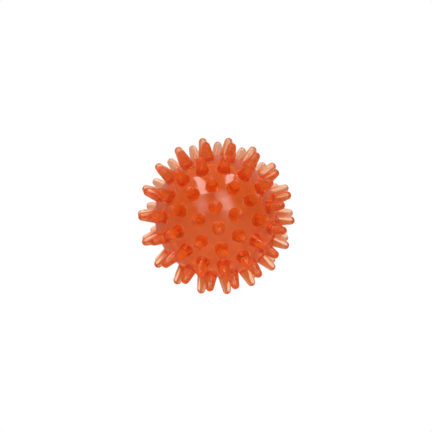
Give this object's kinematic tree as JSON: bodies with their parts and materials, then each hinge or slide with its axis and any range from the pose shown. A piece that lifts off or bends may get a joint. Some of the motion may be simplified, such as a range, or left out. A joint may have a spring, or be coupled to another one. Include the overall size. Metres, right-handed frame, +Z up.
{
  "type": "spiky massage ball",
  "caption": "Hollow translucent ball of soft PVC with rows of solid round-tipped spikes, and a push-in air valve stopper at one pole.",
  "frame": {"origin": "on the surface the ball stands on, straight below the centre of its hollow core", "axes": "+Z up; Y is the pole axis of the spike rows, with the plain pole at -Y (front) and the air valve at +Y (back)"},
  "size_m": [0.069, 0.068, 0.0682],
  "materials": {
    "orange_soft_pvc": "gloss",
    "valve_pvc": "satin",
    "stopper_pvc": "satin"
  },
  "bodies": {
    "ball": {"front_half_skin": "orange_soft_pvc", "back_half_skin": "orange_soft_pvc", "parting_seam": "orange_soft_pvc", "front_pole_spike": "orange_soft_pvc", "front_spikes_row_1": "orange_soft_pvc", "front_spikes_row_2": "orange_soft_pvc", "front_spikes_row_3": "orange_soft_pvc", "front_spikes_row_4": "orange_soft_pvc", "back_spikes_row_1": "orange_soft_pvc", "back_spikes_row_2": "orange_soft_pvc", "back_spikes_row_3": "orange_soft_pvc", "back_spikes_row_4": "orange_soft_pvc", "valve_body": "valve_pvc"},
    "stopper": {"valve_stopper": "stopper_pvc"}
  },
  "joints": [
    {"name": "stopper_pull", "type": "slide", "parent": "ball", "child": "stopper", "axis": [0, 1, 0], "range_m": [0, 0.009]}
  ]
}
